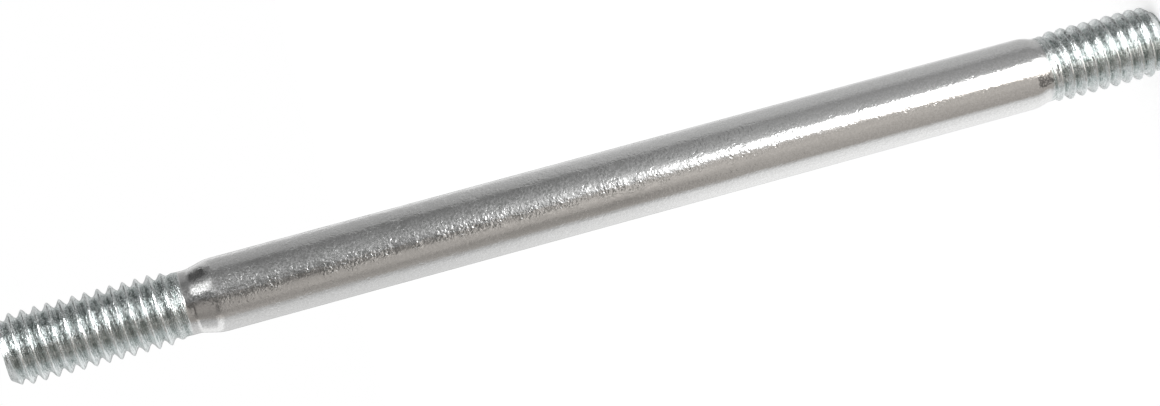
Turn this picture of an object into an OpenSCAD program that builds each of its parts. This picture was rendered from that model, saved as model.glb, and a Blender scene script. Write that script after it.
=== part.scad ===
/* [Stud] */
// Overall length, from end face to end face
stud_length = 96; // [80:0.1:120]
// Diameter of the plain shank, a nominal 6 mm bar
shank_d = 5.9; // [5.88:0.02:6.6]

/* [Nut end] */
// Length of the thread that takes the nut, with its chamfer and run-out
nut_thread_length = 14.4; // [9:0.1:22]
// Turns over which that thread fades into its neck
nut_run_out_turns = 2.2; // [1:0.1:3]
// Diameter of the plain neck below the thread
nut_neck_d = 5.1; // [5:0.05:5.5]
// Length of that neck
nut_neck_length = 0.6; // [0.35:0.05:3]
// Length of the cone that widens the neck to the shank
nut_cone_length = 1.6; // [0.9:0.05:3.6]
// Turn of the thread about the axis, in degrees
nut_thread_turn = 229; // [0:1:359]

/* [Block end] */
// Length of the thread that screws into the block, with its chamfer and run-out
block_thread_length = 10; // [6.5:0.1:14]
// Turns over which that thread fades into its neck
block_run_out_turns = 1.2; // [1:0.1:3]
// Diameter of the plain neck above the thread
block_neck_d = 5.35; // [5:0.05:5.5]
// Length of that neck
block_neck_length = 0.35; // [0.35:0.05:3]
// Length of the cone that widens the neck to the shank
block_cone_length = 0.9; // [0.9:0.05:3.6]
// Turn of the thread about the axis, in degrees
block_thread_turn = 233; // [0:1:359]

/* [Thread form] */
// Diameter over the crests of both threads
thread_d = 5.88; // [5.7:0.02:5.88]
// Pitch, here that of the coarse 6 mm thread
pitch = 1; // [0.86:0.01:1.1]
// Width of the flat on each crest
crest_flat = 0.125; // [0.04:0.005:0.14]
// Radial depth from crest to root
thread_depth = 0.6; // [0.43:0.01:0.61]

/* [Tips and shoulders] */
// Diameter of the flat face at each end
tip_face_d = 4.5; // [3.7:0.1:4.7]
// Angle of the chamfer at each end, from the axis
tip_chamfer_angle = 36; // [25:1:45]
// How far the rounding of each shoulder reaches to both sides of its corner
shoulder_reach = 0.45; // [0.1:0.05:0.5]
// How far the rounding at the foot of each cone reaches
fillet_reach = 0.2; // [0.05:0.05:0.3]

/* [Hidden] */

// Steps around the axis for a thread, and points on one rounding of the outline
steps = 32;
round_points = 4;
// Half the angle between the flanks of the thread
flank_angle = 30;
// How far a thread's root body is let into its neck, and how much slimmer it is there
let_in = 0.43;
let_in_gap = 0.03;

shank_r = shank_d / 2;
crest_r = thread_d / 2;
root_r = crest_r - thread_depth;
tip_r = tip_face_d / 2;
flank_width = thread_depth * tan(flank_angle);

// Heights on the axis, from the block end upwards
block_neck_z = block_thread_length;
block_cone_z = block_neck_z + block_neck_length;
shank_low_z = block_cone_z + block_cone_length;
nut_neck_z = stud_length - nut_thread_length;
nut_cone_z = nut_neck_z - nut_neck_length;
shank_high_z = nut_cone_z - nut_cone_length;

// Corners of one ridge of thread, as [height within a pitch, radius]
ridge = [
    [0, root_r],
    [flank_width, crest_r],
    [flank_width + crest_flat, crest_r],
    [2 * flank_width + crest_flat, root_r]
];

// Point that lies the given distance from corner p, towards q
function towards(p, q, reach) = p + reach * (q - p) / norm(q - p);

// Points of the curve that rounds off corner b, between its neighbours a and c
function rounded(a, b, c, reach) =
    let (from = towards(b, a, reach), to = towards(b, c, reach))
    [
        for (i = [0 : round_points])
            let (t = i / round_points)
            (1 - t) * (1 - t) * from + 2 * t * (1 - t) * b + t * t * to
    ];

// Share of the full thread left at height z: 1 along the thread, falling to 0 at its neck
function share_left(z, length, run_out) =
    let (left = max(0, min(1, (length - z) / run_out)))
    left * left * (3 - 2 * left);

// Radius at height z where the full thread has radius r: cut by the chamfer, faded at the neck
function thread_r(z, r, length, blank_r, run_out) =
    z <= 0 ? tip_r : min(
        tip_r + z * tan(tip_chamfer_angle),
        blank_r + (r - blank_r) * share_left(z, length, run_out)
    );

// Point where corner line i of the helix crosses step j around the axis
function thread_point(i, j, length, blank_r, run_out) =
    let (
        corner = ridge[i % len(ridge)],
        turns = floor(i / len(ridge)) - 1 + j / steps,
        z = max(0, min(length + let_in, turns * pitch + corner[0])),
        angle = 360 * j / steps,
        r = thread_r(z, corner[1], length, blank_r, run_out)
    )
    [r * cos(angle), r * sin(angle), z];

// Right-hand thread with its tip face on z = 0, running up to a neck at z = length
module thread(length, neck_d, run_out_turns) {
    corners = len(ridge);
    lines = corners * (ceil((length + let_in) / pitch) + 2);
    blank_r = neck_d / 2 - let_in_gap;
    run_out = run_out_turns * pitch;

    // The step after the last one is the first again, one turn higher
    function at(i, j) = j == steps ? (i + corners) * steps : i * steps + j;

    points = [
        for (i = [0 : lines + corners])
            for (j = [0 : steps - 1])
                thread_point(i, j, length, blank_r, run_out)
    ];
    sides = [
        for (i = [0 : lines - 1])
            for (j = [0 : steps - 1])
                each [
                    [at(i, j), at(i + 1, j), at(i + 1, j + 1)],
                    [at(i, j), at(i + 1, j + 1), at(i, j + 1)]
                ]
    ];
    tip_face = concat(
        [for (j = [0 : steps]) at(0, j)],
        [for (i = [corners - 1 : -1 : 1]) at(i, 0)]
    );
    inner_face = concat(
        [for (j = [steps : -1 : 0]) at(lines, j)],
        [for (i = [1 : corners - 1]) at(lines + i, 0)]
    );
    polyhedron(points, concat(sides, [tip_face, inner_face]), convexity = 10);
}

// Turned part of the stud: neck, cone, shank, cone and neck, with rounded corners
module turned_bar() {
    block_neck = [block_neck_d / 2, block_neck_z];
    block_foot = [block_neck_d / 2, block_cone_z];
    shank_low = [shank_r, shank_low_z];
    shank_high = [shank_r, shank_high_z];
    nut_foot = [nut_neck_d / 2, nut_cone_z];
    nut_neck = [nut_neck_d / 2, nut_neck_z];
    rotate_extrude($fn = 2 * steps)
        polygon(concat(
            [[0, block_neck_z], block_neck],
            rounded(block_neck, block_foot, shank_low, fillet_reach),
            rounded(block_foot, shank_low, shank_high, shoulder_reach),
            rounded(shank_low, shank_high, nut_foot, shoulder_reach),
            rounded(shank_high, nut_foot, nut_neck, fillet_reach),
            [nut_neck, [0, nut_neck_z]]
        ));
}

module stud() {
    color([0.78, 0.79, 0.8]) {
        turned_bar();
        rotate([0, 0, block_thread_turn])
            thread(block_thread_length, block_neck_d, block_run_out_turns);
        translate([0, 0, stud_length])
            rotate([180, 0, nut_thread_turn])
                thread(nut_thread_length, nut_neck_d, nut_run_out_turns);
    }
}

stud();
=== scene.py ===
import math

import bpy
from mathutils import Matrix, Vector, noise as ripple


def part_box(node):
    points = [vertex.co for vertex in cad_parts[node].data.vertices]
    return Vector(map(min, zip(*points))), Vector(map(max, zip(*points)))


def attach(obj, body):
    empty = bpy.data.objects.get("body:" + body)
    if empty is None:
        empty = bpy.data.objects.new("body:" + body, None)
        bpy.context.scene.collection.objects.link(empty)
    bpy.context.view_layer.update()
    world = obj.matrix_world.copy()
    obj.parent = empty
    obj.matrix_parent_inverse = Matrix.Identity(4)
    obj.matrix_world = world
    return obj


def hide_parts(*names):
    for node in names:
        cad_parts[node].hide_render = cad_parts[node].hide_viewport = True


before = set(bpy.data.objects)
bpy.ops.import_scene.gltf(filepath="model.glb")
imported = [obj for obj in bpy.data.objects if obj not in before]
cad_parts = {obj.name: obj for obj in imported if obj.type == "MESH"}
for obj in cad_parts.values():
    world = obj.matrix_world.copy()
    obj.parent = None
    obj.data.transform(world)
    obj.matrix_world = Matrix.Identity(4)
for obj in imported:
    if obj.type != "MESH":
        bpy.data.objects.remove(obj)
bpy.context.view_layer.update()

mm = 0.001

# Sizes in mm and angles in degrees
stud = {
    # The same as the solid's
    "shankRadius": 2.95,
    "crestRadius": 2.94,
    "pitch": 1.0,
    "crestFlat": 0.125,
    "threadDepth": 0.6,
    "flankAngle": 30,
    "tipRadius": 2.25,
    "chamferAngle": 36,
    "shoulderReach": 0.45,  # the shank's shoulders are rounded from this far away
    "filletReach": 0.2,  # and the feet of the cones from this far
    # Rounding of the rolled thread, which has no sharp edges
    "crestRounding": 0.2,
    "rootRounding": 0.34,
    "chamferRounding": 0.045,
    # Wear
    "crestWear": 0.03,  # depth the crests are worn to in places
    "wearPerMm": 2.3,  # how close together those places are
    "wander": 0.035,  # the ridge strays this much from a true helix
    "wanderPerMm": 0.9,
    "wearRadius": 3,  # wear and wander vary over a cylinder of this radius
    # Mesh
    "columns": 128,  # around the axis
    "rowsPerPitch": 24,
    "shankRows": 24,
    "cornerPoints": 8,
    "endRings": (0.66, 0.33),  # rings inside each end face, as shares of its radius
}
# Lengths from each tip inwards, in mm; the run-out in turns, the turn of the thread in degrees
nutEnd = {"thread": 14.4, "runOut": 2.2, "neckRadius": 2.55, "neck": 0.6, "cone": 1.6, "turn": 229}
blockEnd = {"thread": 10.0, "runOut": 1.2, "neckRadius": 2.675, "neck": 0.35, "cone": 0.9, "turn": 233}

low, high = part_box("stud")
studLength = (high.z - low.z) / mm
nutStart = studLength - nutEnd["thread"]
crestMiddle = stud["threadDepth"] * math.tan(math.radians(stud["flankAngle"])) + stud["crestFlat"] / 2


def smooth(t):
    t = max(0.0, min(1.0, t))
    return t * t * (3 - 2 * t)


# The smaller of two values, rounded where they cross
def softMin(a, b, width):
    share = max(0.0, min(1.0, 0.5 + 0.5 * (b - a) / width))
    return b * (1 - share) + a * share - width * share * (1 - share)


def softMax(a, b, width):
    return -softMin(-a, -b, width)


# Radius of the full thread at a place within one pitch
def threadProfile(place):
    steepness = 1 / math.tan(math.radians(stud["flankAngle"]))
    fromCrest = abs(place - crestMiddle)
    fromCrest = min(fromCrest, stud["pitch"] - fromCrest)
    flank = stud["crestRadius"] - (fromCrest - stud["crestFlat"] / 2) * steepness
    crested = softMin(flank, stud["crestRadius"], stud["crestRounding"])
    return softMax(crested, stud["crestRadius"] - stud["threadDepth"], stud["rootRounding"])


# Radius of one end's thread, with its wear, its run-out into the neck and the chamfer of the tip
def threadRadius(fromTip, angle, end):
    turned = math.radians(angle)
    spot = Vector((
        math.cos(turned) * stud["wearRadius"],
        math.sin(turned) * stud["wearRadius"],
        fromTip + end["turn"],
    ))
    strayed = stud["wander"] * ripple.noise(spot * stud["wanderPerMm"])
    place = (fromTip - angle / 360 * stud["pitch"] + strayed) % stud["pitch"]
    worn = stud["crestWear"] * (0.5 + 0.5 * ripple.noise(spot * stud["wearPerMm"]))
    full = threadProfile(place) - worn
    left = smooth((end["thread"] - fromTip) / (end["runOut"] * stud["pitch"]))
    faded = end["neckRadius"] + (full - end["neckRadius"]) * left
    chamfer = stud["tipRadius"] + fromTip * math.tan(math.radians(stud["chamferAngle"]))
    return softMin(faded, chamfer, stud["chamferRounding"])


# Rows of one end's thread, from its tip inwards, as (distance from the tip, radii)
def threadRows(end, angles):
    rowHeight = stud["pitch"] / stud["rowsPerPitch"]
    count = math.ceil(end["thread"] / rowHeight)
    rows = []
    for i in range(count):
        fromTip = end["thread"] * i / count
        rows.append((fromTip, [threadRadius(fromTip, angle, end) for angle in angles]))
    return rows


def towards(a, b, reach):
    return a + (b - a).normalized() * reach


# Corner b of an outline, rounded between its neighbours a and c
def rounded(a, b, c, reach):
    start, end = towards(b, a, reach), towards(b, c, reach)
    made = []
    for i in range(stud["cornerPoints"] + 1):
        t = i / stud["cornerPoints"]
        made.append(start * (1 - t) ** 2 + b * (2 * t * (1 - t)) + end * t ** 2)
    return made


# Outline of the turned part as (radius, height) points, from the block end's neck upwards
def turnedOutline():
    blockNeck = Vector((blockEnd["neckRadius"], blockEnd["thread"]))
    blockFoot = blockNeck + Vector((0, blockEnd["neck"]))
    shankLow = Vector((stud["shankRadius"], blockFoot.y + blockEnd["cone"]))
    nutNeck = Vector((nutEnd["neckRadius"], nutStart))
    nutFoot = nutNeck - Vector((0, nutEnd["neck"]))
    shankHigh = Vector((stud["shankRadius"], nutFoot.y - nutEnd["cone"]))
    line = [blockNeck]
    line += rounded(blockNeck, blockFoot, shankLow, stud["filletReach"])
    line += rounded(blockFoot, shankLow, shankHigh, stud["shoulderReach"])
    for i in range(1, stud["shankRows"]):
        line.append(shankLow.lerp(shankHigh, i / stud["shankRows"]))
    line += rounded(shankLow, shankHigh, nutFoot, stud["shoulderReach"])
    line += rounded(shankHigh, nutFoot, nutNeck, stud["filletReach"])
    return line + [nutNeck]


# Rows of radii up the whole stud, as (height, radius at each column)
def studRows():
    angles = [360 * j / stud["columns"] for j in range(stud["columns"])]
    rows = threadRows(blockEnd, [angle - blockEnd["turn"] for angle in angles])
    for point in turnedOutline():
        rows.append((point.y, [point.x] * stud["columns"]))
    nutRows = threadRows(nutEnd, [nutEnd["turn"] - angle for angle in angles])
    for fromTip, radii in reversed(nutRows):
        rows.append((studLength - fromTip, radii))
    return rows


def ringPoint(radius, j, z):
    a = 2 * math.pi * j / stud["columns"]
    return (radius * math.cos(a) * mm, radius * math.sin(a) * mm, z * mm)


# End face: rings inside the rim and a fan in the middle
def closeEnd(vertices, faces, rim, z, facesDown):
    columns = stud["columns"]
    for share in stud["endRings"]:
        ring = [len(vertices) + j for j in range(columns)]
        vertices += [ringPoint(stud["tipRadius"] * share, j, z) for j in range(columns)]
        for j in range(columns):
            k = (j + 1) % columns
            face = (rim[j], rim[k], ring[k], ring[j])
            faces.append(face[::-1] if facesDown else face)
        rim = ring
    middle = len(vertices)
    vertices.append((0, 0, z * mm))
    for j in range(columns):
        face = (rim[j], rim[(j + 1) % columns], middle)
        faces.append(face[::-1] if facesDown else face)


def addObject(name, data):
    made = bpy.data.objects.new(name, data)
    bpy.context.scene.collection.objects.link(made)
    return made


def makeStud():
    columns = stud["columns"]
    rows = studRows()
    vertices, faces = [], []
    for z, radii in rows:
        vertices += [ringPoint(radius, j, z) for j, radius in enumerate(radii)]
    for i in range(len(rows) - 1):
        a, b = i * columns, (i + 1) * columns
        for j in range(columns):
            k = (j + 1) % columns
            faces.append((a + j, a + k, b + k, b + j))
    lastRow = (len(rows) - 1) * columns
    closeEnd(vertices, faces, list(range(columns)), 0, True)
    closeEnd(vertices, faces, list(range(lastRow, lastRow + columns)), studLength, False)
    mesh = bpy.data.meshes.new("stud")
    mesh.from_pydata(vertices, [], faces)
    mesh.update()
    mesh.shade_smooth()
    return addObject("threadedStud", mesh)


print("stud")
studPiece = makeStud()


# Small helpers for node trees: a value or another node's output goes into a socket
def put(tree, value, socket):
    if isinstance(value, bpy.types.NodeSocket):
        tree.links.new(value, socket)
    else:
        socket.default_value = value


def calc(tree, operation, a, b=0.0):
    node = tree.nodes.new("ShaderNodeMath")
    node.operation = operation
    put(tree, a, node.inputs[0])
    put(tree, b, node.inputs[1])
    return node.outputs[0]


def plus(tree, total, *others):
    for other in others:
        total = calc(tree, "ADD", total, other)
    return total


def minus(tree, a, b):
    return calc(tree, "SUBTRACT", a, b)


def times(tree, product, *others):
    for other in others:
        product = calc(tree, "MULTIPLY", product, other)
    return product


def ease(tree, value, start, end, fromValue=0.0, toValue=1.0):
    node = tree.nodes.new("ShaderNodeMapRange")
    node.interpolation_type = "SMOOTHSTEP"
    for socket, number in zip(node.inputs, (value, start, end, fromValue, toValue)):
        put(tree, number, socket)
    return node.outputs[0]


# 1 between full and stillFull, 0 before it begins and after it ends
def zone(tree, value, begins, full, stillFull, ends):
    return times(tree, ease(tree, value, begins, full), ease(tree, value, ends, stillFull))


# A value with its edge broken up by a pattern
def ragged(tree, value, pattern, reach):
    return plus(tree, value, times(tree, minus(tree, pattern, 0.5), reach))


def vector(tree, x, y, z):
    node = tree.nodes.new("ShaderNodeCombineXYZ")
    for socket, number in zip(node.inputs, (x, y, z)):
        put(tree, number, socket)
    return node.outputs[0]


def noise(tree, place, perMm, detail, roughness):
    node = tree.nodes.new("ShaderNodeTexNoise")
    put(tree, place, node.inputs["Vector"])
    node.inputs["Scale"].default_value = perMm
    node.inputs["Detail"].default_value = detail
    node.inputs["Roughness"].default_value = roughness
    return node.outputs["Fac"]


def blend(tree, share, first, second):
    node = tree.nodes.new("ShaderNodeMix")
    node.data_type = "RGBA"
    put(tree, share, node.inputs["Factor"])
    put(tree, first, node.inputs[6])
    put(tree, second, node.inputs[7])
    return node.outputs[2]


def blendNumber(tree, share, first, second):
    node = tree.nodes.new("ShaderNodeMix")
    put(tree, share, node.inputs[0])
    put(tree, first, node.inputs[2])
    put(tree, second, node.inputs[3])
    return node.outputs[0]


# Degrees around the axis from the front, + towards +X
def degreesFromFront(tree, x, y):
    return times(tree, calc(tree, "ARCTAN2", x, times(tree, y, -1)), 180 / math.pi)


def splitPlace(tree, place):
    node = tree.nodes.new("ShaderNodeSeparateXYZ")
    tree.links.new(place, node.inputs[0])
    return node.outputs


def newMaterial(name):
    made = bpy.data.materials.new(name)
    made.use_nodes = True
    made.node_tree.nodes.clear()
    return made, made.node_tree


def finishSurface(tree, shader):
    out = tree.nodes.new("ShaderNodeOutputMaterial")
    tree.links.new(shader, out.inputs["Surface"])


print("zinc plate")
# Bright zinc plate. Lengths and heights in mm, degrees from the front. An edge is where a pattern begins to
# count and where it counts in full, and a pair of shares is what those two give. Four places are: begins,
# full, still full, ends
zinc = {
    # Patterns: grains to a mm, levels of detail, strength of the finer levels
    "patterns": {
        "peel": (1 / 0.22, 1, 0.5),  # orange peel
        "spots": (1 / 0.3, 1, 0.5),  # small pits in it
        "frost": (1 / 1.3, 2, 0.5),  # the peel comes in patches
        "specks": (1 / 0.18, 2, 0.7),
        "grit": (1 / 0.12, 2, 0.6),
        "clouds": (0.45, 2, 0.5),
        "blotches": (1.7, 3, 0.6),
        "pits": (2.6, 3, 0.6),  # on the threads
        "drawnLines": (5, 3, 0.6),  # marks of drawing the bar
        "streaks": (1, 1, 0.5),  # marks of rolling the thread
    },
    # Shank
    "shankColor": (0.83, 0.83, 0.825, 1),
    "dullColor": (0.73, 0.73, 0.725, 1),
    "mottleParts": (0.6, 0.4),  # how much grit and how much peel colour the shank
    "mottleEdge": (0.35, 0.65),
    "shankRoughness": (0.12, 0.19),  # from the block end to the nut end
    "cloudEdge": (0.35, 0.65),
    "cloudShare": (0.85, 1.15),
    "peelHeight": 0.02,
    "spotDepth": 0.008,
    "spotEdge": (0.56, 0.72),
    "gritHeight": 0.0012,
    "drawnLineHeight": 0.0008,
    "drawnLineStretch": 0.06,
    "calmAt": (10, 80),  # the peel is calmer towards the block end
    "calmShare": (0.5, 1.15),
    "frostEdge": (0.38, 0.62),
    "frostShare": (0.45, 1.4),
    "peelSide": (-15, -9, 100, 150),
    "smoothShare": 0.5,  # the peel is calmer outside that side
    "coneEdge": (-0.4, 0.2),  # from the shank's upper end
    "coneShare": 0.45,  # the peel is calmer on the nut cone
    # Fine specks on one side of the shank, painted where the strip light falls: light and dark specks
    # standing in for glints and flecks of the peel
    "glintSpecksSide": (-15, -9, 14, 46),
    "sideEdgeReach": 24,  # its edges are broken up over this many degrees
    "glintSpecksAt": (25, 60),  # it fades towards the block end
    "glintSpecksShare": (0.25, 1),
    "patchEdge": (0.3, 0.6),
    "patchShare": (0.55, 1),
    "speckEdge": (0.4, 0.6),
    "darkSpeck": (0.56, 0.57, 0.56, 1),
    "lightSpeck": (0.96, 0.96, 0.96, 1),
    # Threads
    "threadColor": (0.81, 0.84, 0.84, 1),
    "blotchColor": (0.68, 0.725, 0.72, 1),
    "blotchEdge": (0.47, 0.62),
    # Painted shade in the thread's roots, broken up by the pits pattern; the same colour marks the scuffs
    # where the nut thread runs out
    "rootShadeAndScuffColor": (0.38, 0.43, 0.42, 1),
    "rootEdge": (0.5, 1.0),  # 0 is the crest, 1 the middle of the root
    "rootShadeEdge": (0.35, 0.6),
    "threadRoughness": (0.338, 0.182),
    "pitEdge": (0.3, 0.7),
    "pitHeight": 0.015,
    "streakHeight": 0.06,
    "streaksAlong": 22,  # to a turn
    "streaksAcross": 12,  # to a pitch
    "flankEdge": (0.15, 0.55),
    "flankShare": (1.1, 1.5),  # the marks are stronger on the flanks than on the crests
    "nutBlend": 0.2,
    "markedNeck": 0.4,  # marks of the die reach this far past the block thread
    # Where the nut thread runs out
    "scuffHeight": 0.02,
    "scuffEdge": (0.42, 0.58),
    "scuffShade": 0.75,
    "scuffFrom": 0.6,  # full this far from the neck
    "dieMarks": 1.5,  # how much stronger the marks are there
    # Painted shade that darkens the nut neck's groove all round, and a dark patch on the block neck near
    # the front
    "nutNeckPaintedShade": 0.9,
    "nutNeckReach": (-0.15, 0.1, 0.0, 0.3),  # from the neck's lower end, then from its upper end
    "darkPatchShade": 0.3,
    "darkPatchTurn": (-31, -27, -9, -5),
    "darkPatchHeight": (0.1, 0.3, 1.2, 1.4),  # above the thread
    "darkPatchTurnReach": 16,  # its edges are broken up over this many degrees
    "darkPatchHeightReach": 0.3,  # and over this much height
    "darkPatchEdge": (0.3, 0.55),
}
black = (0, 0, 0, 1)


# Where a point of the plate is: along the bar, along and across the thread, and on which part
def studPlace(tree):
    inMm = tree.nodes.new("ShaderNodeVectorMath")
    inMm.operation = "SCALE"
    inMm.inputs["Scale"].default_value = 1 / mm
    tree.links.new(tree.nodes.new("ShaderNodeTexCoord").outputs["Object"], inMm.inputs[0])
    place = inMm.outputs[0]
    x, y, z = splitPlace(tree, place)
    # Turns climbed along the ridge, and the place across it in pitches, where 0.5 is the crest
    turn = calc(tree, "DIVIDE", calc(tree, "ARCTAN2", y, x), 2 * math.pi)
    upper = calc(tree, "GREATER_THAN", z, studLength / 2)
    blockCrest = crestMiddle / stud["pitch"] - blockEnd["turn"] / 360
    nutCrest = (studLength - crestMiddle) / stud["pitch"] - nutEnd["turn"] / 360
    crest = plus(tree, times(tree, upper, nutCrest - blockCrest), blockCrest - 0.5)
    climbed = minus(tree, minus(tree, calc(tree, "DIVIDE", z, stud["pitch"]), turn), crest)
    across = calc(tree, "FRACT", climbed)
    fromCrest = times(tree, calc(tree, "ABSOLUTE", minus(tree, across, 0.5)), 2)
    nutZone = ease(tree, z, nutStart, nutStart + zinc["nutBlend"])
    blockZone = ease(tree, z, blockEnd["thread"] + zinc["markedNeck"], blockEnd["thread"])
    thread = calc(tree, "MAXIMUM", nutZone, blockZone)
    faded = nutStart + nutEnd["runOut"] * stud["pitch"]
    runOut = ease(tree, z, faded, nutStart + zinc["scuffFrom"])
    return {
        "place": place,
        "z": z,
        "fromFront": degreesFromFront(tree, x, y),
        "stretched": vector(tree, x, y, times(tree, z, zinc["drawnLineStretch"])),
        "onThread": vector(
            tree,
            times(tree, plus(tree, calc(tree, "FLOOR", climbed), turn), zinc["streaksAlong"]),
            times(tree, across, zinc["streaksAcross"]),
            upper,
        ),
        "fromCrest": fromCrest,
        "thread": thread,
        "plain": minus(tree, 1, thread),
        "runOut": times(tree, runOut, upper),
    }


def platePatterns(tree, at):
    places = {"drawnLines": at["stretched"], "streaks": at["onThread"]}
    made = {}
    for name, values in zinc["patterns"].items():
        made[name] = noise(tree, places.get(name, at["place"]), *values)
    return made


# Height of the plate on the shank and the necks
def shankHeight(tree, at, seen):
    height = plus(
        tree,
        times(tree, seen["peel"], zinc["peelHeight"]),
        times(tree, ease(tree, seen["spots"], *zinc["spotEdge"]), -zinc["spotDepth"]),
        times(tree, seen["grit"], zinc["gritHeight"]),
        times(tree, seen["drawnLines"], zinc["drawnLineHeight"]),
    )
    shankTop = nutStart - nutEnd["neck"] - nutEnd["cone"]
    coneLow, coneHigh = zinc["coneEdge"]
    peeled = zone(tree, at["frostTurn"], *zinc["peelSide"])
    return times(
        tree,
        height,
        ease(tree, at["z"], *zinc["calmAt"], *zinc["calmShare"]),
        ease(tree, seen["frost"], *zinc["frostEdge"], *zinc["frostShare"]),
        ease(tree, peeled, 0, 1, zinc["smoothShare"], 1),
        ease(tree, at["z"], shankTop + coneLow, shankTop + coneHigh, 1, zinc["coneShare"]),
    )


def threadHeight(tree, at, seen):
    onFlank = ease(tree, at["fromCrest"], *zinc["flankEdge"], *zinc["flankShare"])
    height = plus(
        tree,
        times(tree, seen["streaks"], onFlank, zinc["streakHeight"]),
        times(tree, seen["pits"], zinc["pitHeight"]),
        times(tree, seen["grit"], zinc["gritHeight"]),
    )
    height = times(tree, height, ease(tree, at["runOut"], 0, 1, 1, zinc["dieMarks"]))
    return plus(tree, height, times(tree, seen["grit"], at["runOut"], zinc["scuffHeight"]))


def shankColor(tree, at, seen):
    gritPart, peelPart = zinc["mottleParts"]
    mottle = plus(tree, times(tree, seen["grit"], gritPart), times(tree, seen["peel"], peelPart))
    color = blend(tree, ease(tree, mottle, *zinc["mottleEdge"]), zinc["dullColor"], zinc["shankColor"])
    specks = ease(tree, seen["specks"], *zinc["speckEdge"])
    # Specks painted on the side that faces the strip light, standing in for glints and dark flecks of the
    # peel
    glintSpecks = times(
        tree,
        zone(tree, at["frostTurn"], *zinc["glintSpecksSide"]),
        ease(tree, at["z"], *zinc["glintSpecksAt"], *zinc["glintSpecksShare"]),
        ease(tree, seen["frost"], *zinc["patchEdge"], *zinc["patchShare"]),
    )
    return blend(tree, glintSpecks, color, blend(tree, specks, zinc["darkSpeck"], zinc["lightSpeck"]))


def threadColor(tree, at, seen, blotches):
    color = blend(tree, blotches, zinc["threadColor"], zinc["blotchColor"])
    # Painted shade darkens the thread's roots where the pits pattern lets it
    inRoot = ease(tree, at["fromCrest"], *zinc["rootEdge"])
    shadedRoots = times(tree, inRoot, ease(tree, seen["pits"], *zinc["rootShadeEdge"]))
    color = blend(tree, shadedRoots, color, zinc["rootShadeAndScuffColor"])
    scuffed = times(tree, at["runOut"], ease(tree, seen["grit"], *zinc["scuffEdge"], 0, zinc["scuffShade"]))
    return blend(tree, scuffed, color, zinc["rootShadeAndScuffColor"])


# How much of the nut neck's painted shade and of the block neck's dark patch lies on a point
def neckShadeAndDarkPatch(tree, at, seen, blotches):
    begins, full, stillFull, ends = zinc["nutNeckReach"]
    neckLow = nutStart - nutEnd["neck"]
    neck = zone(tree, at["z"], neckLow + begins, neckLow + full, nutStart + stillFull, nutStart + ends)
    turned = ragged(tree, at["fromFront"], seen["peel"], zinc["darkPatchTurnReach"])
    height = ragged(tree, at["z"], blotches, zinc["darkPatchHeightReach"])
    # A dark patch painted on the block neck near the front, its edges broken up
    darkPatch = times(
        tree,
        zone(tree, turned, *zinc["darkPatchTurn"]),
        zone(tree, height, *[blockEnd["thread"] + above for above in zinc["darkPatchHeight"]]),
        ease(tree, seen["grit"], *zinc["darkPatchEdge"]),
    )
    return neck, darkPatch


def plateRoughness(tree, at, seen):
    shank = times(
        tree,
        ease(tree, at["z"], *zinc["calmAt"], *zinc["shankRoughness"]),
        ease(tree, seen["clouds"], *zinc["cloudEdge"], *zinc["cloudShare"]),
    )
    ridged = ease(tree, seen["pits"], *zinc["pitEdge"], *zinc["threadRoughness"])
    return blendNumber(tree, at["thread"], shank, ridged)


def makeZinc():
    made, tree = newMaterial("brightZinc")
    at = studPlace(tree)
    seen = platePatterns(tree, at)
    at["frostTurn"] = ragged(tree, at["fromFront"], seen["frost"], zinc["sideEdgeReach"])
    blotches = ease(tree, seen["blotches"], *zinc["blotchEdge"])

    bump = tree.nodes.new("ShaderNodeBump")
    bump.inputs["Strength"].default_value = 1
    bump.inputs["Distance"].default_value = mm
    plainPart = times(tree, shankHeight(tree, at, seen), at["plain"])
    ridgedPart = times(tree, threadHeight(tree, at, seen), at["thread"])
    tree.links.new(plus(tree, plainPart, ridgedPart), bump.inputs["Height"])

    color = blend(tree, at["thread"], shankColor(tree, at, seen), threadColor(tree, at, seen, blotches))
    neck, darkPatch = neckShadeAndDarkPatch(tree, at, seen, blotches)
    # Painted shade on the nut neck's groove, then the dark patch on the block neck
    color = blend(tree, times(tree, neck, 1 - zinc["nutNeckPaintedShade"]), color, black)
    color = blend(tree, times(tree, darkPatch, 1 - zinc["darkPatchShade"]), color, black)

    shader = tree.nodes.new("ShaderNodeBsdfPrincipled")
    shader.inputs["Metallic"].default_value = 1
    tree.links.new(color, shader.inputs["Base Color"])
    tree.links.new(plateRoughness(tree, at, seen), shader.inputs["Roughness"])
    tree.links.new(bump.outputs[0], shader.inputs["Normal"])
    finishSurface(tree, shader.outputs[0])
    return made


studPiece.data.materials.append(makeZinc())
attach(studPiece, "root")
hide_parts("stud")

print("camera")
view = {
    "lens": 83.28,
    "sensorWidth": 36,
    "tilt": 7.75,  # degrees that it looks down
    "roll": 15.27,
    "distance": 0.2136,
    "aim": (-0.00055, 0, 0.04962),
}


def makeCamera():
    tilt, roll = math.radians(view["tilt"]), math.radians(view["roll"])
    back = Vector((0, -math.cos(tilt), math.sin(tilt)))
    upright = Vector((0, math.sin(tilt), math.cos(tilt)))
    across = Vector((1, 0, 0))
    right = -math.cos(roll) * upright - math.sin(roll) * across
    up = -math.sin(roll) * upright + math.cos(roll) * across
    data = bpy.data.cameras.new("camera")
    data.lens = view["lens"]
    data.sensor_width = view["sensorWidth"]
    camera = addObject("camera", data)
    turned = Matrix((right, up, back)).transposed().to_4x4()
    camera.matrix_world = Matrix.Translation(Vector(view["aim"]) + back * view["distance"]) @ turned
    bpy.context.scene.camera = camera


makeCamera()

print("floor and light")
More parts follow.
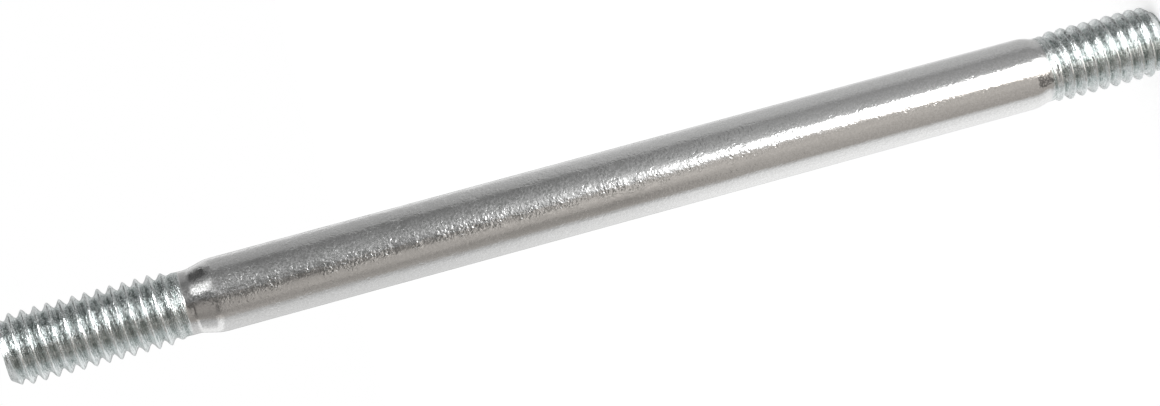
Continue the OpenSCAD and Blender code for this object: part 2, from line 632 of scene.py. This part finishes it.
# The stud stands in a light tent. Its shades run round the stud by degrees from the front, + towards +X,
# in six belts from the tent's floor up to its top
room = {
    "floorSize": 3.0,
    "floorColor": (0.9, 0.9, 0.9, 1),
    "floorGlow": 0.4,  # whitens the floor for the camera
    "roomLight": 0.7,
    "roomWhite": 0.3,  # added where the room itself is seen
    "tentRadius": 0.35,
    "tentClearance": 0.0002,
    "tentColumns": 72,
    "tentRows": 24,
    "tentFloorRings": 5,
    "brightest": 9.0,
    # Each belt: the climbs at which it begins to take over and has taken over, and its shades by degrees
    "belts": {
        "floor": (None, [
            (-180, 0.5), (-172, 0.6), (-156, 0.98), (-120, 1.02), (-105, 0.95), (-90, 0.88),
            (-81, 0.64), (-74, 0.38), (-60, 0.41), (-45, 0.45), (-27, 0.52), (-15, 0.5), (15, 0.6),
            (32, 0.52), (45, 0.42), (60, 0.36), (76, 0.31), (86, 0.4), (96, 0.49), (115, 0.53),
            (140, 0.6), (156, 0.85), (172, 0.5), (180, 0.5),
        ]),
        "corner": ((-0.15, -0.07), [
            (-180, 0.4), (-172, 0.5), (-156, 0.88), (-120, 0.9), (-92, 0.84), (-82, 0.52), (-70, 0.31),
            (-52, 0.24), (-40, 0.44), (-26, 0.68), (-14, 0.5), (-4, 0.6), (5, 0.84), (20, 0.78),
            (32, 0.48), (45, 0.35), (62, 0.26), (74, 0.23), (90, 0.44), (110, 0.52), (140, 0.7),
            (156, 0.9), (172, 0.4), (180, 0.4),
        ]),
        "wall": ((-0.01, 0.04), [
            (-180, 0.3), (-172, 0.4), (-156, 0.75), (-120, 0.75), (-98, 0.7), (-85, 0.53), (-73, 0.36),
            (-58, 0.32), (-45, 0.45), (-27, 0.41), (-15, 0.14), (-3, 0.15), (8, 0.23), (20, 0.34),
            (42, 0.27), (60, 0.22), (74, 0.17), (90, 0.36), (110, 0.42), (132, 0.5), (156, 0.95),
            (172, 0.3), (180, 0.3),
        ]),
        "eaves": ((0.1, 0.112), [
            (-180, 0.35), (-172, 0.45), (-156, 1.0), (-110, 1.1), (-90, 1.1), (-75, 0.72), (-60, 0.18),
            (-45, 0.08), (-30, 0.07), (-12, 0.09), (-2, 0.3), (20, 0.4), (42, 0.35), (58, 0.3),
            (72, 0.22), (100, 0.22), (120, 0.6), (156, 0.9), (172, 0.35), (180, 0.35),
        ]),
        "upper": ((0.148, 0.168), [
            (-180, 0.35), (-172, 0.45), (-156, 0.6), (-100, 0.55), (-85, 0.42), (-65, 0.26),
            (-30, 0.33), (-8, 0.16), (18, 0.18), (26, 1.05), (46, 1.2), (54, 0.3), (66, 0.24),
            (78, 0.06), (123, 0.05), (138, 0.45), (156, 0.8), (172, 0.35), (180, 0.35),
        ]),
        "top": ((0.24, 0.29), [
            (-180, 0.9), (-95, 0.6), (-78, 0.35), (-60, 0.12), (-35, 0.08), (10, 0.15), (21, 9.0),
            (52, 9.0), (63, 0.15), (72, 0.1), (110, 0.14), (135, 0.6), (180, 0.9),
        ]),
    },
    "warmSide": (-82.8, -72, -7.2, 0),
    "warmTint": (1.06, 1.0, 0.94, 1),
    "plainTint": (1, 1, 1, 1),
}
# A strip light lies on the tent's floor, points away from the stud and narrows towards it
strip = {
    "angle": 10,
    "halfWidth": 0.026,
    "taper": 0.075,
    "edge": 0.006,
    "fullAt": 0.01,  # it begins at the stud and is full this far out
    "fadeFrom": 0.06,
    "fadeTo": 0.28,
    "lowWall": (0.01, 0.005),  # it is gone above the first height and full below the second
    "shade": 5.2,
}


def shadeRamp(tree, turn, shades):
    node = tree.nodes.new("ShaderNodeValToRGB")
    node.color_ramp.interpolation = "EASE"
    stops = node.color_ramp.elements
    while len(stops) > 1:
        stops.remove(stops[-1])
    for degrees, shade in shades:
        position = degrees / 360 + 0.5
        stop = stops.new(position) if position > 0 else stops[0]
        share = shade / room["brightest"]
        stop.color = (share, share, share, 1)
    put(tree, turn, node.inputs[0])
    return node.outputs[0]


# How much of the strip light a point of the tent's floor shows
def stripLight(tree, x, y, z):
    aim = math.radians(strip["angle"])
    ahead = minus(tree, times(tree, x, math.sin(aim)), times(tree, y, math.cos(aim)))
    aside = plus(tree, times(tree, x, math.cos(aim)), times(tree, y, math.sin(aim)))
    widening = calc(tree, "TANH", calc(tree, "DIVIDE", ahead, strip["taper"]))
    halfWidth = times(tree, widening, strip["halfWidth"])
    inside = minus(tree, halfWidth, calc(tree, "ABSOLUTE", aside))
    return times(
        tree,
        ease(tree, inside, -strip["edge"], strip["edge"]),
        ease(tree, ahead, strip["fadeTo"], strip["fadeFrom"]),
        ease(tree, ahead, 0, strip["fullAt"]),
        ease(tree, z, *strip["lowWall"]),
    )


def tentMaterial():
    made, tree = newMaterial("tentCloth")
    place = tree.nodes.new("ShaderNodeNewGeometry").outputs["Position"]
    x, y, z = splitPlace(tree, place)
    distance = tree.nodes.new("ShaderNodeVectorMath")
    distance.operation = "LENGTH"
    tree.links.new(place, distance.inputs[0])
    # Climb is below 0 on the tent's floor and the height above it on the wall
    climb = minus(tree, plus(tree, z, distance.outputs["Value"]), room["tentRadius"])
    degrees = degreesFromFront(tree, x, y)
    turn = plus(tree, calc(tree, "DIVIDE", degrees, 360), 0.5)
    shade = None
    for taken, shades in room["belts"].values():
        belt = shadeRamp(tree, turn, shades)
        shade = blend(tree, ease(tree, climb, *taken), shade, belt) if taken else belt
    glare = strip["shade"] / room["brightest"]
    shade = blend(tree, stripLight(tree, x, y, z), shade, (glare, glare, glare, 1))
    warm = zone(tree, degrees, *room["warmSide"])
    tinted = tree.nodes.new("ShaderNodeVectorMath")
    tinted.operation = "MULTIPLY"
    tree.links.new(shade, tinted.inputs[0])
    tree.links.new(blend(tree, warm, room["plainTint"], room["warmTint"]), tinted.inputs[1])
    glow = tree.nodes.new("ShaderNodeEmission")
    glow.inputs["Strength"].default_value = room["brightest"]
    tree.links.new(tinted.outputs[0], glow.inputs["Color"])
    finishSurface(tree, glow.outputs[0])
    return made


# Rings of the tent as (radius, height), outwards along its floor and up its wall
def tentRings():
    radius, lift = room["tentRadius"], room["tentClearance"]
    steps = room["tentFloorRings"] + 1
    rings = [(radius * i / steps, lift) for i in range(1, steps)]
    for i in range(room["tentRows"]):
        rise = math.pi / 2 * i / room["tentRows"]
        rings.append((radius * math.cos(rise), lift + radius * math.sin(rise)))
    return rings


# Seen by the metal alone, so it neither shows nor shades the floor
def makeTent():
    around = room["tentColumns"]
    rings = tentRings()
    vertices = [(0, 0, room["tentClearance"])]
    for radius, z in rings:
        for j in range(around):
            a = 2 * math.pi * j / around
            vertices.append((radius * math.cos(a), radius * math.sin(a), z))
    vertices.append((0, 0, room["tentClearance"] + room["tentRadius"]))
    faces = []
    last = 1 + (len(rings) - 1) * around
    for j in range(around):
        k = (j + 1) % around
        faces.append((0, 1 + j, 1 + k))
        faces.append((last + k, last + j, len(vertices) - 1))
        for i in range(len(rings) - 1):
            a, b = 1 + i * around, 1 + (i + 1) * around
            faces.append((a + j, b + j, b + k, a + k))
    mesh = bpy.data.meshes.new("tent")
    mesh.from_pydata(vertices, [], faces)
    mesh.materials.append(tentMaterial())
    tent = addObject("tent", mesh)
    tent.visible_camera = False
    tent.visible_shadow = False
    tent.visible_diffuse = False


def floorMaterial():
    made, tree = newMaterial("floorWhite")
    matt = tree.nodes.new("ShaderNodeBsdfDiffuse")
    matt.inputs["Color"].default_value = room["floorColor"]
    glow = tree.nodes.new("ShaderNodeEmission")
    path = tree.nodes.new("ShaderNodeLightPath")
    tree.links.new(times(tree, path.outputs["Is Camera Ray"], room["floorGlow"]), glow.inputs["Strength"])
    both = tree.nodes.new("ShaderNodeAddShader")
    tree.links.new(matt.outputs[0], both.inputs[0])
    tree.links.new(glow.outputs[0], both.inputs[1])
    finishSurface(tree, both.outputs[0])
    return made


def makeFloor():
    half = room["floorSize"] / 2
    corners = [(-half, -half, 0), (half, -half, 0), (half, half, 0), (-half, half, 0)]
    mesh = bpy.data.meshes.new("floor")
    mesh.from_pydata(corners, [], [(0, 1, 2, 3)])
    mesh.materials.append(floorMaterial())
    addObject("floor", mesh)


def makeWorld():
    world = bpy.data.worlds.new("room")
    bpy.context.scene.world = world
    world.use_nodes = True
    tree = world.node_tree
    tree.nodes.clear()
    path = tree.nodes.new("ShaderNodeLightPath")
    seen = calc(tree, "MAXIMUM", path.outputs["Is Camera Ray"], path.outputs["Is Glossy Ray"])
    seen = calc(tree, "MAXIMUM", seen, path.outputs["Is Transmission Ray"])
    soft = tree.nodes.new("ShaderNodeBackground")
    soft.inputs["Color"].default_value = (1, 1, 1, 1)
    strength = plus(tree, times(tree, seen, room["roomWhite"]), room["roomLight"])
    tree.links.new(strength, soft.inputs["Strength"])
    out = tree.nodes.new("ShaderNodeOutputWorld")
    tree.links.new(soft.outputs[0], out.inputs["Surface"])


makeFloor()
makeTent()
makeWorld()
bpy.context.scene.view_settings.view_transform = "Standard"
